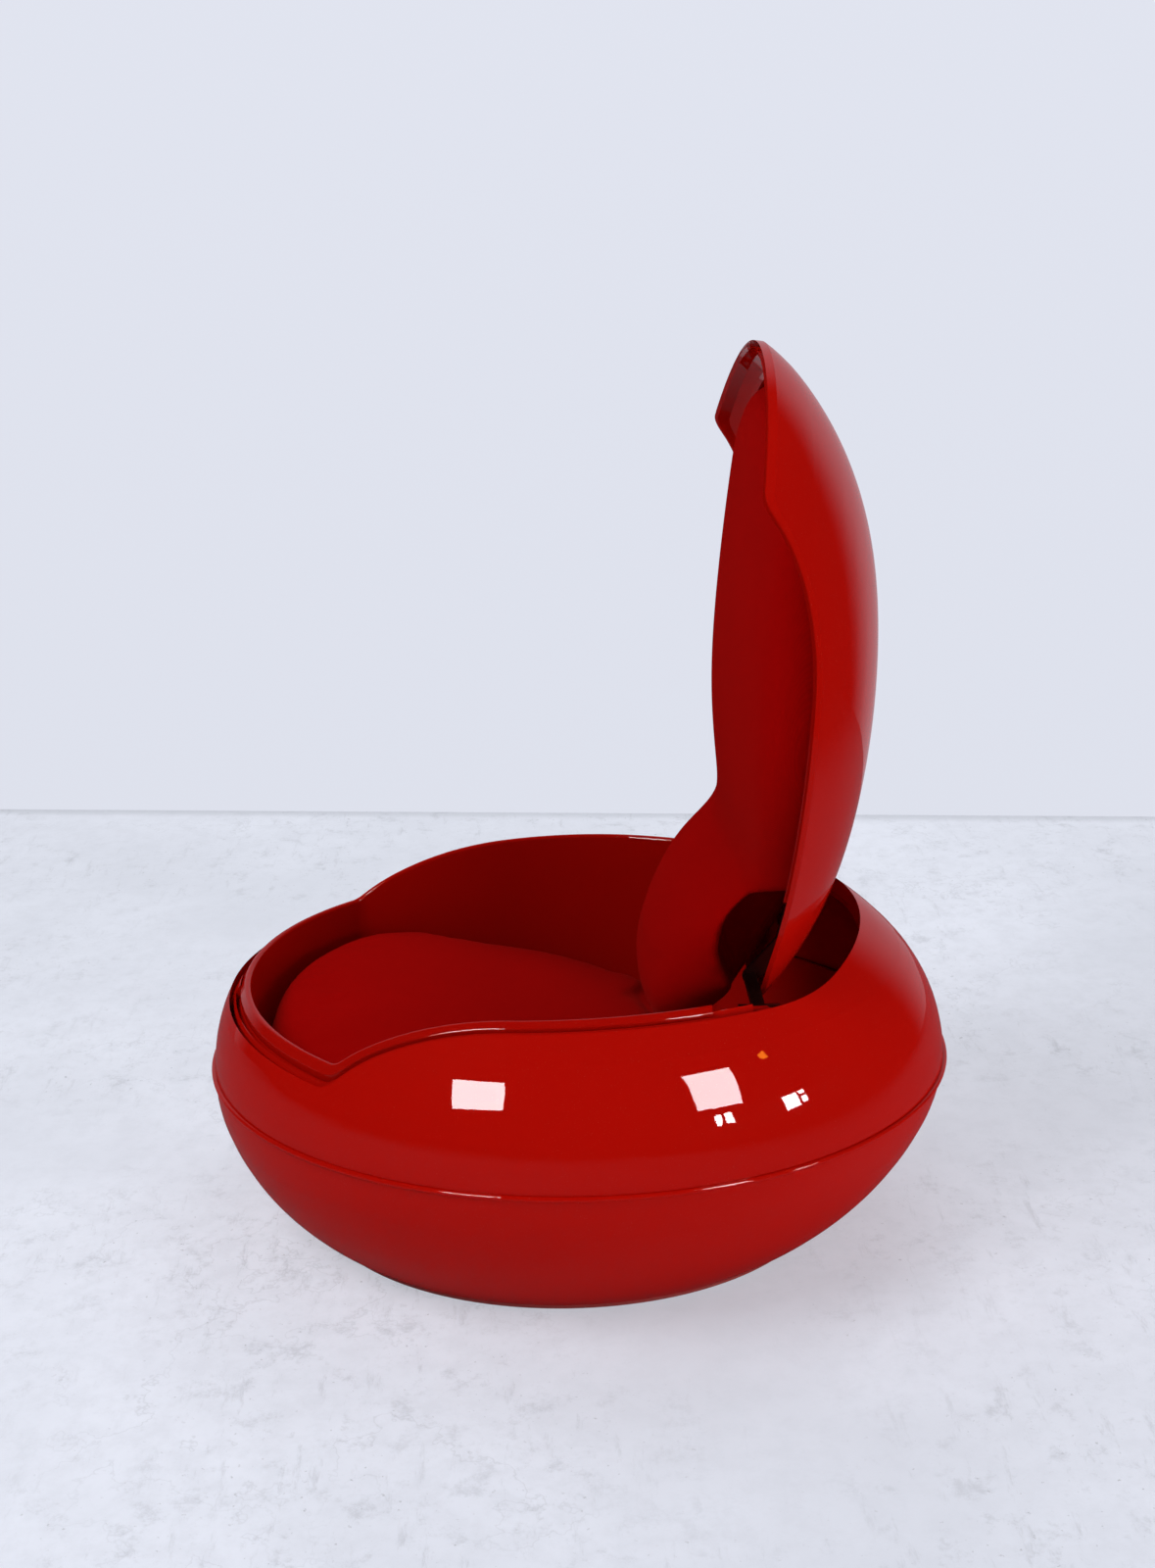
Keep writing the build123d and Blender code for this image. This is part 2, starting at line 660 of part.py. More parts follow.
with BuildPart() as arm_screws:
    for side in (-1, 1):
        for x, y in arm_holes:
            with Locations((side * x, y, boss_low - 4)):
                Cylinder(4.4, 2.7, align=(Align.CENTER, Align.CENTER, Align.MAX))
            with Locations((side * x, y, boss_low - 5)):
                Cylinder(screw_radius, 12, align=(Align.CENTER, Align.CENTER, Align.MIN))
screws = opened(arm_screws.part)
screws.label = "arm_screws"
export_step(screws, "parts/arm_screws.step")

# ---- front of the rim ----
with BuildPart() as catch_keeper:
    add(rim_band(keeper_crest, rebate_floor - 0.2, 0.8, lip_in - 0.3, 0))
    with Locations((0, keeper_y, 0)):
        Box(keeper_wide, half_width, 2 * height, mode=Mode.INTERSECT)
keeper = catch_keeper.part.transform_geometry(stretched)
keeper.label = "catch_keeper"
export_step(keeper, "parts/catch_keeper.step")

# strap loop, drawn closed: round outer end towards the sitter, legs cut off just under the lid's skin
loop_y = -0.8544 * half_width
loop_z = skin_height(0, loop_y * stretch, lid_wall)
with BuildPart() as pull_loop:
    with BuildSketch(Plane.YZ.offset(-loop_wide / 2)):
        with Locations((loop_y, loop_z)):
            SlotOverall(2 * loop_reach, loop_tall, rotation=90)
            SlotOverall(2 * (loop_reach - loop_wall), loop_tall - 2 * loop_wall, rotation=90,
                        mode=Mode.SUBTRACT)
    extrude(amount=loop_wide)
    add(egg(lid_wall + seam_gap, lid_wall + 1, 0), mode=Mode.INTERSECT)
loop = opened(pull_loop.part.transform_geometry(stretched))
loop.label = "pull_loop"
export_step(loop, "parts/pull_loop.step")
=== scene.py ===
"""Pod lounge chair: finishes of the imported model, two cushions, a plain stage, camera and lamps."""
import math

import bmesh
import bpy
from mathutils import Matrix, Quaternion, Vector


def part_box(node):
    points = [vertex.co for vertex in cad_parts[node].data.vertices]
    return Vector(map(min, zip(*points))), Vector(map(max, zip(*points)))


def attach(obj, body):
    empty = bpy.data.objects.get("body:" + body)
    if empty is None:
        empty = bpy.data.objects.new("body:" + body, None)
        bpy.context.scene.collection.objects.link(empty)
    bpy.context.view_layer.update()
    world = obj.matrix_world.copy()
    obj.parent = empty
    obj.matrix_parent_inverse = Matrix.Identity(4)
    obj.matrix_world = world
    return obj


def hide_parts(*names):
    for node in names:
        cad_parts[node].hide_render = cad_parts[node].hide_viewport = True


bl_info = {
    "name": "Pod lounge chair",
    "version": (1, 0, 0),
    "blender": (4, 5, 0),
    "location": "3D View > Sidebar > Pod chair",
    "description": "Finishes, cushions and studio for a lounge chair with a hinged lid",
    "category": "Object",
}

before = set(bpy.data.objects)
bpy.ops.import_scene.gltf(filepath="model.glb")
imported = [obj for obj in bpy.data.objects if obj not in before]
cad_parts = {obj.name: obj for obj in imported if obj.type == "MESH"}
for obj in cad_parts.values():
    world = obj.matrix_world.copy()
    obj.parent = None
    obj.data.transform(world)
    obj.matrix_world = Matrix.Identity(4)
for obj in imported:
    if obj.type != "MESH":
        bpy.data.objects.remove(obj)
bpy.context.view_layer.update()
MM = 0.001

# ---- cushions: metres over the foam's lowest point, or shares of the foam's height ----
RELAX = 0.5                     # share of the way to its neighbours that a vertex goes in one pass
PASSES_BEFORE = 6               # smoothing passes before a cover is blown up
PASSES_AFTER = 3                # and after it
BLOW_FRAMES = 20                # frames that the pressure works for
SEAT_HELD = 0.012               # up to this height the seat cover is pinned
SEAT_HANG = 0.0015              # how far the seat cover may lie under the foam
SEAT_SEAM = 0.42                # share of the height at which the seam runs round
SEAT_SIDES = (0.50, 0.78)       # shares between which the fuller sides fade out
SEAT_FRONT = (-0.02, 0.10)      # metres in front of y = 0 at which the fullness starts and is whole

# ---- floor ----
WALL_LEAN = 0.105               # how far the wall's foot moves in x for each metre of y
JOINT_REACH = (0.004, 0.040)    # how far from the wall its joint is dark, and where it has faded
CAMERA_SHARE = 0.52             # share of its own plain colour that the floor shows to the camera
MIRROR_DIM = 0.68               # share of its colour that the floor loses for gloss
MIRROR_DIM_SIDE = 0.25          # and what is added to this at the side
MIRROR_SIDE = (1.2, 2.4)        # y between which it is added

# ---- world ----
MIRRORED_WALL = (-0.82, -0.52)  # x of a direction: gloss sees the wall below, the dim room above
DIM_ROOM = (0.020, 0.020, 0.024)
FILL_LOW = (0.80, 0.80, 0.84)
FILL_HIGH = (0.92, 0.94, 1.0)
FILL_STRENGTH = 0.29
BAY_TOWARDS = (0.55, 0.835)     # where the low bright bay lies, on the ground
BAY_SIDE = (0.75, 0.97)         # cosines from that direction at which it starts and is whole
BAY_BOTTOM = (-0.02, 0.04)      # z of a direction at which it starts and is whole
BAY_TOP = (0.20, 0.34)          # and at which it fades and has ended
BAY_STRENGTH = 9.0

# ---- lamps: all face LAMP_AIM, and a direction is where a lamp stands as seen from there ----
LAMP_AIM = Vector((0.33, 0.0, 0.28))
PALE = (0.97, 0.975, 1.0)
WARM = (1.0, 0.30, 0.02)
SOFT_FAR = 3.6
SOFT_LAMPS = (                  # name, direction, width, height, watts
    ("soft_high", (0.30, -0.58, 0.76), 2.0, 2.0, 74.0),
    ("soft_back", (-0.70, 0.25, 0.80), 2.2, 2.2, 36.0),
)
PANE_FAR = 3.4
PANES = (                       # name, direction, width, height, glow, colour, roll in degrees
    ("window_front", (0.6735, -0.4848, 0.558), 0.86, 1.00, 46.0, PALE, 14.0),
    ("window_rear", (0.630, 0.585, 0.510), 0.82, 1.32, 42.0, PALE, -8.0),
    ("pane_rear_left", (0.759, 0.618, 0.207), 0.14, 0.34, 66.0, PALE, 0.0),
    ("pane_rear_right", (0.722, 0.660, 0.207), 0.14, 0.34, 66.0, PALE, 0.0),
    ("pane_side", (0.447, 0.877, 0.178), 0.30, 0.42, 66.0, PALE, 0.0),
    ("pane_side_low", (0.378, 0.912, 0.155), 0.12, 0.18, 66.0, PALE, 0.0),
    ("pane_side_high", (0.378, 0.901, 0.222), 0.12, 0.14, 66.0, PALE, 0.0),
    ("warm_lamp", (0.29, 0.71, 0.60), 0.13, 0.15, 30.0, WARM, 0.0),
)


# ---- sizes and colours that a user would change ----
def length(name, description, default):
    """Length setting in metres."""
    return bpy.props.FloatProperty(
        name=name, description=description, default=default, unit="LENGTH", precision=4)


def angle(name, description, degrees):
    """Angle setting."""
    return bpy.props.FloatProperty(
        name=name, description=description, default=math.radians(degrees), subtype="ANGLE")


def paint(name, description, default):
    """Colour setting, linear."""
    return bpy.props.FloatVectorProperty(
        name=name, description=description, default=default, subtype="COLOR", size=3,
        min=0.0, max=1.0)


class CushionSizes(bpy.types.PropertyGroup):
    """How the two cushions are made."""
    voxel: length("Mesh step", "Edge length of the cloth mesh", 0.006)
    cover: length("Cover thickness", "Cloth over the foam", 0.0010)
    seat_swell: length("Seat swell", "Most that the seat cover may rise", 0.005)
    back_swell: length("Back swell", "Most that the back cover may rise", 0.0015)
    seat_fuller: length(
        "Seat fullness", "How much further the sides of the seat's front stand out", 0.006)
    seam_deep: length("Seam depth", "How far a seam pulls in", 0.0018)
    seam_wide: length("Seam width", "Width of the pulled-in strip", 0.006)
    knit: length("Knit pitch", "Distance between the loops of the knitted cloth", 0.0013)


class ChairColours(bpy.types.PropertyGroup):
    """Base colours."""
    lacquer: paint("Lacquer", "Gloss lacquer of the shells", (0.40, 0.0030, 0.0008))
    foot: paint("Foot", "Foot ring", (0.30, 0.034, 0.028))
    cloth: paint("Cloth", "Knitted cover", (0.31, 0.0012, 0.0010))
    steel: paint("Steel", "Bare metal of pins and screws", (0.42, 0.41, 0.40))
    hinge: paint("Hinge", "Browned metal of arms and brackets", (0.070, 0.022, 0.018))
    nylon: paint("Nylon", "Hinge bushes", (0.62, 0.58, 0.50))
    rubber: paint("Rubber", "Buffers and the pull loop", (0.022, 0.012, 0.012))
    board: paint("Board", "Plywood inside the back cushion", (0.47, 0.30, 0.15))


class StageSetup(bpy.types.PropertyGroup):
    """Room and camera."""
    camera_turn: angle("Camera azimuth", "Round the chair from its front", 88.12)
    camera_rise: angle("Camera elevation", "Above the horizon", 17.915)
    camera_roll: angle("Camera roll", "Tilt of the picture", -0.951)
    camera_far: length("Camera distance", "From the aim point", 2.6514)
    aim: bpy.props.FloatVectorProperty(
        name="Aim point", description="Point in the middle of the picture",
        default=(0.0004, 0.0028, 0.5078), subtype="TRANSLATION", size=3)
    lens: bpy.props.FloatProperty(name="Lens", description="Focal length in mm", default=54.34)
    wall_near: length("Wall place", "Where the floor meets the wall behind the chair", -1.41)
    floor_reach: length("Floor reach", "How far the floor runs the other ways", 9.0)
    wall: paint("Wall", "Pale wall", (0.75, 0.775, 0.865))
    floor: paint("Floor", "Painted floor", (0.84, 0.87, 0.955))


def settings():
    """The three groups of settings."""
    scene = bpy.context.scene
    return scene.pod_cushions, scene.pod_colours, scene.pod_stage


# ---- shader writing ----
class Wire:
    """A socket; arithmetic on it adds the Math nodes that the expression needs."""

    def __init__(self, graph, socket):
        self.graph = graph
        self.socket = socket

    def calc(self, operation, *values):
        """A Math node on this wire and other values."""
        feeds = dict(enumerate((self,) + values))
        return self.graph.node("ShaderNodeMath", {"operation": operation}, feeds)

    def __add__(self, other):
        return self.calc("ADD", other)

    def __mul__(self, other):
        return self.calc("MULTIPLY", other)

    def __sub__(self, other):
        return self.calc("SUBTRACT", other)

    def __neg__(self):
        return self.calc("MULTIPLY", -1.0)

    def __rsub__(self, other):
        return (-self) + other

    __radd__ = __add__

    def sine(self):
        return self.calc("SINE")

    def band(self, low, high):
        """0 below low, 1 above high, smooth between."""
        return self.graph.node("ShaderNodeMapRange", {"interpolation_type": "SMOOTHSTEP"},
                               {"Value": self, "From Min": low, "From Max": high})


class Graph:
    """Node tree of a material or a world while it is written."""

    def __init__(self, owner):
        owner.use_nodes = True
        self.tree = owner.node_tree
        self.tree.nodes.clear()

    def node(self, kind, setup=None, feeds=None, out=0):
        """One node: its settings first, then the values or links of its sockets."""
        made = self.tree.nodes.new(kind)
        for name, value in (setup or {}).items():
            setattr(made, name, value)
        for key, value in (feeds or {}).items():
            socket = made.inputs[key]
            if isinstance(value, Wire):
                self.tree.links.new(value.socket, socket)
            elif hasattr(socket.default_value, "__len__") and len(socket.default_value) == 4:
                socket.default_value = (*value, 1.0)
            else:
                socket.default_value = value
        return Wire(self, made.outputs[out]) if len(made.outputs) else None

    def place(self):
        """Coordinates in metres, which stay with the piece."""
        return self.node("ShaderNodeTexCoord", out="Object")

    def squeezed(self, scale, turn=0.0):
        """The same, scaled along each axis and turned about the vertical."""
        return self.node("ShaderNodeMapping", feeds={
            "Vector": self.place(), "Rotation": (0.0, 0.0, turn), "Scale": scale})

    def axes(self, vector):
        """The three numbers of a vector."""
        return [self.node("ShaderNodeSeparateXYZ", feeds={0: vector}, out=i) for i in range(3)]

    def ray(self, kind):
        """1 for rays of this kind, 0 for others."""
        return self.node("ShaderNodeLightPath", out=kind)

    def cloud(self, scale, detail=3.0, rough=0.5, vector=None):
        """Noise at a scale per metre."""
        return self.node("ShaderNodeTexNoise", {"noise_dimensions": "3D"}, {
            "Vector": vector or self.place(), "Scale": scale, "Detail": detail,
            "Roughness": rough})

    def blend(self, share, one, other):
        """Mix of two colours."""
        return self.node("ShaderNodeMix", {"data_type": "RGBA"}, {0: share, 6: one, 7: other},
                         out=2)

    def relief(self, height, deep, strength, under=None):
        """Bump from a height that runs from 0 to 1, deep in metres, over another bump."""
        feeds = {"Strength": strength, "Distance": deep, "Height": height}
        if under is not None:
            feeds["Normal"] = under
        return self.node("ShaderNodeBump", feeds=feeds)

    def either(self, share, one, other):
        """Mix of two shaders."""
        return self.node("ShaderNodeMixShader", feeds={0: share, 1: one, 2: other})

    def surface(self, **feeds):
        """Principled shader linked to the output."""
        named = {name.replace("_", " "): value for name, value in feeds.items()}
        shader = self.node("ShaderNodeBsdfPrincipled", feeds=named)
        self.node("ShaderNodeOutputMaterial", feeds={"Surface": shader})


def scaled(colour, factor):
    """A colour made lighter or darker."""
    return tuple(min(1.0, c * factor) for c in colour)


def fresh(name):
    """A new material and its node tree."""
    material = bpy.data.materials.new(name)
    return material, Graph(material)


def gloss_lacquer(name, colour, coat=0.42, rough=0.32):
    """Sprayed gloss lacquer: deep colour under a clear coat, faint orange peel, haze and dust."""
    material, g = fresh(name)
    tone = g.cloud(2.4, detail=2.0)
    haze = g.cloud(14.0, detail=4.0, rough=0.6)
    wiped = g.cloud(5.0, rough=0.55, vector=g.squeezed((1.0, 1.0, 6.0))).band(0.55, 0.8)
    specks = g.cloud(900.0, detail=1.0).band(0.70, 0.78)
    base = g.blend(tone, scaled(colour, 0.93), scaled(colour, 1.07))
    base = g.blend(specks * 0.22, base, (0.42, 0.16, 0.13))
    waves = g.cloud(22.0, detail=1.0, rough=0.4)
    peel = g.cloud(230.0, detail=2.0, rough=0.4)
    normal = g.relief(waves, 0.9 * MM, 0.16)
    normal = g.relief(peel, 0.05 * MM, 0.10, under=normal)
    g.surface(Base_Color=base, Roughness=rough + haze * 0.05 + wiped * 0.05,
              Specular_IOR_Level=0.0, Coat_Weight=coat - specks * 0.3, Coat_Roughness=0.02,
              Normal=normal)
    return material


def satin_foot(name, colour):
    """Foot ring: darker red, scuffed where it meets the floor."""
    material, g = fresh(name)
    height = g.axes(g.place())[2]
    patches = g.cloud(90.0, detail=5.0, rough=0.7).band(0.42, 0.62)
    scuff = (1 - height.band(0.0, 3.5 * MM)) * patches
    base = g.blend(scuff * 0.3, colour, (0.40, 0.22, 0.20))
    g.surface(Base_Color=base, Roughness=0.30 + scuff * 0.35, Coat_Weight=0.5,
              Coat_Roughness=0.12, Normal=g.relief(g.cloud(400.0), 0.08 * MM, 0.3))
    return material


def knitted_cloth(name, colour, pitch):
    """Stretch cover: rows of small loops, soft nap, and worn paler patches."""
    material, g = fresh(name)
    wobble = g.cloud(60.0, detail=2.0)
    x, y, z = g.axes(g.place())
    turn = math.tau / pitch
    rows = ((y + z) * turn + wobble * 2.0).sine()
    loops = (x * turn + rows * 0.6 + wobble * 2.0).sine()
    weave = loops * rows * 0.5 + 0.5
    nap = g.cloud(1500.0, detail=2.0)
    worn = g.cloud(6.0, detail=4.0, rough=0.6).band(0.45, 0.8)
    base = g.blend(weave, scaled(colour, 0.74), scaled(colour, 1.12))
    base = g.blend(worn * 0.12, base, scaled(colour, 1.5))
    base = g.blend(nap.band(0.62, 0.8) * 0.06, base, (0.50, 0.02, 0.016))
    normal = g.relief(weave, 0.22 * MM, 0.5)
    normal = g.relief(nap, 0.10 * MM, 0.35, under=normal)
    normal = g.relief(g.cloud(38.0), 0.6 * MM, 0.12, under=normal)
    g.surface(Base_Color=base, Roughness=0.86 + nap * 0.1, Specular_IOR_Level=0.0,
              Sheen_Weight=0.10, Sheen_Roughness=0.45, Sheen_Tint=(1.0, 0.08, 0.06),
              Normal=normal)
    return material


def brushed_steel(name, colour):
    """Steel with fine lines along the bar and duller stains."""
    material, g = fresh(name)
    lines = g.cloud(60.0, detail=4.0, rough=0.7, vector=g.squeezed((1.0, 30.0, 30.0)))
    stain = g.cloud(70.0, detail=4.0, rough=0.6).band(0.5, 0.75)
    base = g.blend(stain * 0.5, colour, scaled(colour, 0.55))
    g.surface(Base_Color=base, Metallic=1.0, Roughness=0.24 + lines * 0.18 + stain * 0.15,
              Normal=g.relief(lines, 0.05 * MM, 0.3))
    return material


def plain_plastic(name, colour, rough, grain):
    """Moulded nylon or rubber with a fine grain."""
    material, g = fresh(name)
    skin = g.cloud(grain, detail=4.0, rough=0.6)
    base = g.blend(skin, scaled(colour, 0.82), scaled(colour, 1.15))
    g.surface(Base_Color=base, Roughness=rough + skin * 0.1,
              Normal=g.relief(skin, 0.10 * MM, 0.35))
    return material


def plywood(name, colour):
    """Board with grain lines."""
    material, g = fresh(name)
    grain = g.cloud(26.0, detail=6.0, rough=0.65, vector=g.squeezed((9.0, 1.0, 1.0)))
    base = g.blend(grain.band(0.35, 0.7), scaled(colour, 0.7), scaled(colour, 1.2))
    g.surface(Base_Color=base, Roughness=0.62 + grain * 0.1,
              Normal=g.relief(grain, 0.15 * MM, 0.4))
    return material


def dress(material, *nodes):
    """Puts a material on CAD nodes."""
    for name in nodes:
        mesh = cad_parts[name].data
        mesh.materials.clear()
        mesh.materials.append(material)


# ---- cushions ----
def applied(obj):
    """The object's mesh with its modifiers worked in."""
    depsgraph = bpy.context.evaluated_depsgraph_get()
    mesh = bpy.data.meshes.new_from_object(obj.evaluated_get(depsgraph))
    obj.modifiers.clear()
    obj.data = mesh
    return mesh


def skin_of(node, name, voxel):
    """Even quad skin round a CAD solid."""
    obj = bpy.data.objects.new(name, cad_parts[node].data.copy())
    bpy.context.scene.collection.objects.link(obj)
    remesh = obj.modifiers.new("even", "REMESH")
    remesh.mode = "VOXEL"
    remesh.voxel_size = voxel
    remesh.use_smooth_shade = True
    applied(obj)
    return obj


def smooth_out(mesh, times):
    """Relaxes the mesh."""
    shape = bmesh.new()
    shape.from_mesh(mesh)
    for _ in range(times):
        bmesh.ops.smooth_vert(shape, verts=shape.verts[:], factor=RELAX,
                              use_axis_x=True, use_axis_y=True, use_axis_z=True)
    shape.to_mesh(mesh)
    shape.free()
    mesh.update()


def swell(obj, cap, hold):
    """Blows the cover up as cloth from inside; held vertices are pinned, all travel is capped."""
    before = [v.co.copy() for v in obj.data.vertices]
    pins = obj.vertex_groups.new(name="held")
    pins.add([v.index for v in obj.data.vertices if hold(v.co)], 1.0, "REPLACE")
    cloth = obj.modifiers.new("cover", "CLOTH")
    cloth.settings.quality = 5
    cloth.settings.mass = 0.25
    cloth.settings.tension_stiffness = 25.0
    cloth.settings.compression_stiffness = 25.0
    cloth.settings.shear_stiffness = 8.0
    cloth.settings.bending_stiffness = 2.0
    cloth.settings.use_pressure = True
    cloth.settings.uniform_pressure_force = 4.0
    cloth.settings.vertex_group_mass = "held"
    cloth.settings.effector_weights.gravity = 0.0
    cloth.point_cache.frame_start = 1
    cloth.point_cache.frame_end = BLOW_FRAMES
    for step in range(1, BLOW_FRAMES + 1):
        bpy.context.scene.frame_set(step)
    mesh = applied(obj)
    for vertex, old in zip(mesh.vertices, before):
        move = vertex.co - old
        if move.length > cap:
            vertex.co = old + move.normalized() * cap
    obj.vertex_groups.clear()
    bpy.context.scene.frame_set(1)


def covered(node, name, voxel, cap, hold):
    obj = skin_of(node, name, voxel)
    smooth_out(obj.data, PASSES_BEFORE)
    swell(obj, cap, hold)
    smooth_out(obj.data, PASSES_AFTER)
    return obj


def push_out(mesh, amount):
    """Moves the skin out along its normals by amount(place)."""
    normals = [v.normal.copy() for v in mesh.vertices]
    for vertex, normal in zip(mesh.vertices, normals):
        vertex.co += normal * amount(vertex.co)
    mesh.update()


def ramp(value, low, high):
    """0 below low, 1 above high, smooth between."""
    share = min(1.0, max(0.0, (value - low) / (high - low)))
    return share * share * (3.0 - 2.0 * share)


def line_pull(distance, wide, deep):
    """How far a seam pulls the cloth in at a distance from its line."""
    return -deep * math.exp(-(distance / (0.5 * wide)) ** 2)


def finish_cushion(obj, material, body, nodes):
    """Subdivides, shades and dresses a cushion, hangs it on its body's empty and hides the CAD nodes
    it stands for.
    """
    finer = obj.modifiers.new("finer", "SUBSURF")
    finer.levels = finer.render_levels = 1
    applied(obj)
    obj.data.shade_smooth()
    obj.data.materials.clear()
    obj.data.materials.append(material)
    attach(obj, body)
    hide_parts(*nodes)


# ---- steps ----
class POD_OT_shells(bpy.types.Operator):
    """Lacquers the shells, tub, lid and keeper, and finishes the foot ring"""
    bl_idname = "pod.shells"
    bl_label = "Shells and foot"

    def execute(self, context):
        colours = settings()[1]
        red = colours.lacquer
        dress(gloss_lacquer("shell_lacquer", red), "top_shell", "base_shell", "catch_keeper")
        # Painted shade: the tub's lacquer is the shell red darkened to 0.88, standing in for the
        # shade inside the tub; its coat is also less glossy.
        dress(gloss_lacquer("tub_lacquer_painted_shade", scaled(red, 0.88), 0.38, 0.36), "seat_tub")
        # Painted shade: the lid's lacquer is the shell red darkened to 0.96, so the lid renders less
        # bright under the lamps.
        dress(gloss_lacquer("lid_lacquer_painted_shade", scaled(red, 0.96), 0.46, 0.30), "lid_shell")
        dress(satin_foot("foot_satin", colours.foot), "foot_ring")
        return {"FINISHED"}


class POD_OT_hinge(bpy.types.Operator):
    """Finishes the hinge arms, brackets, pins, screws, bushes, buffers, loop and back board"""
    bl_idname = "pod.hinge"
    bl_label = "Hinge and small parts"

    def execute(self, context):
        colours = settings()[1]
        dress(brushed_steel("browned_steel", colours.hinge),
              "hinge_arm_left", "hinge_arm_right", "hinge_bracket_left", "hinge_bracket_right")
        dress(brushed_steel("screw_steel", colours.steel),
              "arm_screws", "bracket_screws", "hinge_pins")
        dress(plain_plastic("bush_nylon", colours.nylon, 0.45, 500.0), "hinge_bushes")
        dress(plain_plastic("buffer_rubber", colours.rubber, 0.62, 900.0),
              "stop_buffers", "pull_loop")
        dress(plywood("back_plywood", colours.board), "back_board")
        return {"FINISHED"}


class POD_OT_seat(bpy.types.Operator):
    """Makes the seat cushion: a cover blown up over the foam, fuller at its front sides, seamed"""
    bl_idname = "pod.seat"
    bl_label = "Seat cushion"

    def execute(self, context):
        sizes, colours, _ = settings()
        low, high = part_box("seat_foam")
        tall = high.z - low.z
        held = low.z + SEAT_HELD
        obj = covered("seat_foam", "seat_cushion", sizes.voxel, sizes.seat_swell,
                      lambda co: co.z < held)
        edge, crown = (low.z + share * tall for share in SEAT_SIDES)
        push_out(obj.data, lambda co: sizes.cover + sizes.seat_fuller
                 * ramp(-co.y, *SEAT_FRONT) * (1.0 - ramp(co.z, edge, crown)))
        seam = low.z + SEAT_SEAM * tall
        push_out(obj.data, lambda co: line_pull(co.z - seam, sizes.seam_wide, sizes.seam_deep))
        for vertex in obj.data.vertices:
            vertex.co.z = max(vertex.co.z, low.z - SEAT_HANG)
        finish_cushion(obj, knitted_cloth("seat_knit", colours.cloth, sizes.knit), "chair",
                       ("seat_foam", "seat_cover"))
        return {"FINISHED"}


class POD_OT_back(bpy.types.Operator):
    """Makes the back cushion: a cover blown up a little over the foam and its lumbar roll"""
    bl_idname = "pod.back"
    bl_label = "Back cushion"

    def execute(self, context):
        sizes, colours, _ = settings()
        obj = covered("back_foam", "back_cushion", sizes.voxel, sizes.back_swell,
                      lambda co: False)
        push_out(obj.data, lambda co: sizes.cover)
        finish_cushion(obj, knitted_cloth("back_knit", colours.cloth, sizes.knit), "lid",
                       ("back_foam", "back_cover"))
        return {"FINISHED"}


def lamp(name, towards, far, wide, high, power, colour, gloss, roll=0.0):
    """Flat lamp, unseen by the camera, for gloss alone or for all but gloss."""
    data = bpy.data.lights.new(name, "AREA")
    data.shape = "RECTANGLE"
    data.size = wide
    data.size_y = high
    data.energy = power
    data.color = colour
    obj = bpy.data.objects.new(name, data)
    obj.visible_camera = False
    obj.visible_glossy = gloss
    obj.visible_diffuse = not gloss
    place = LAMP_AIM + Vector(towards).normalized() * far
    facing = (LAMP_AIM - place).to_track_quat("-Z", "Y")
    obj.location = place
    obj.rotation_mode = "QUATERNION"
    obj.rotation_quaternion = facing @ Quaternion((0.0, 0.0, 1.0), math.radians(roll))
    bpy.context.scene.collection.objects.link(obj)


def painted_floor(name, colour, wall):
    """Pale painted concrete, worn, with the dark joint at the wall."""
    material, g = fresh(name)
    tone = g.cloud(1.3, detail=4.0, rough=0.6)
    worn = g.cloud(1.7, detail=2.0).band(0.36, 0.60)
    mottle = g.cloud(26.0, detail=9.0, rough=0.75).band(0.40, 0.66)
    scuffs = g.cloud(19.0, detail=10.0, rough=0.78).band(0.52, 0.66) * worn
    drawn = g.squeezed((1.0, 5.0, 1.0), turn=0.6)
    streaks = g.cloud(9.0, detail=10.0, rough=0.75, vector=drawn).band(0.55, 0.68) * worn
    specks = g.cloud(110.0, rough=0.6).band(0.66, 0.74) * worn
    middle = g.cloud(3.2, detail=6.0, rough=0.62) - 0.5
    hairlines = (1 - middle.calc("ABSOLUTE").band(0.0, 0.006)) * tone.band(0.45, 0.6)
    x, y, _ = g.axes(g.place())
    joint = (1 - (x - y * WALL_LEAN - wall).band(*JOINT_REACH)) * (tone + 0.1)
    base = g.blend(tone.band(0.3, 0.7), scaled(colour, 0.90), scaled(colour, 1.03))
    for layer, share, shade in (
            (mottle, 0.42, 0.86), (scuffs, 0.44, 0.58), (streaks, 0.42, 0.58),
            (specks, 0.60, 0.42), (hairlines, 0.22, 0.5), (joint, 0.7, 0.55)):
        base = g.blend(layer * share, base, scaled(colour, shade))
    dimming = y.band(*MIRROR_SIDE) * MIRROR_DIM_SIDE + MIRROR_DIM
    base = g.blend(g.ray("Is Glossy Ray") * dimming, base, (0.0, 0.0, 0.0))
    lit = g.node("ShaderNodeBsdfPrincipled", feeds={
        "Base Color": base, "Roughness": 0.5, "Specular IOR Level": 0.0,
        "Normal": g.relief(g.cloud(30.0, detail=5.0, rough=0.6), 1.0 * MM, 0.12)})
    plain = g.node("ShaderNodeEmission", feeds={"Color": base, "Strength": 1.0})
    both = g.either(g.ray("Is Camera Ray") * CAMERA_SHARE, lit, plain)
    g.node("ShaderNodeOutputMaterial", feeds={"Surface": both})
    return material


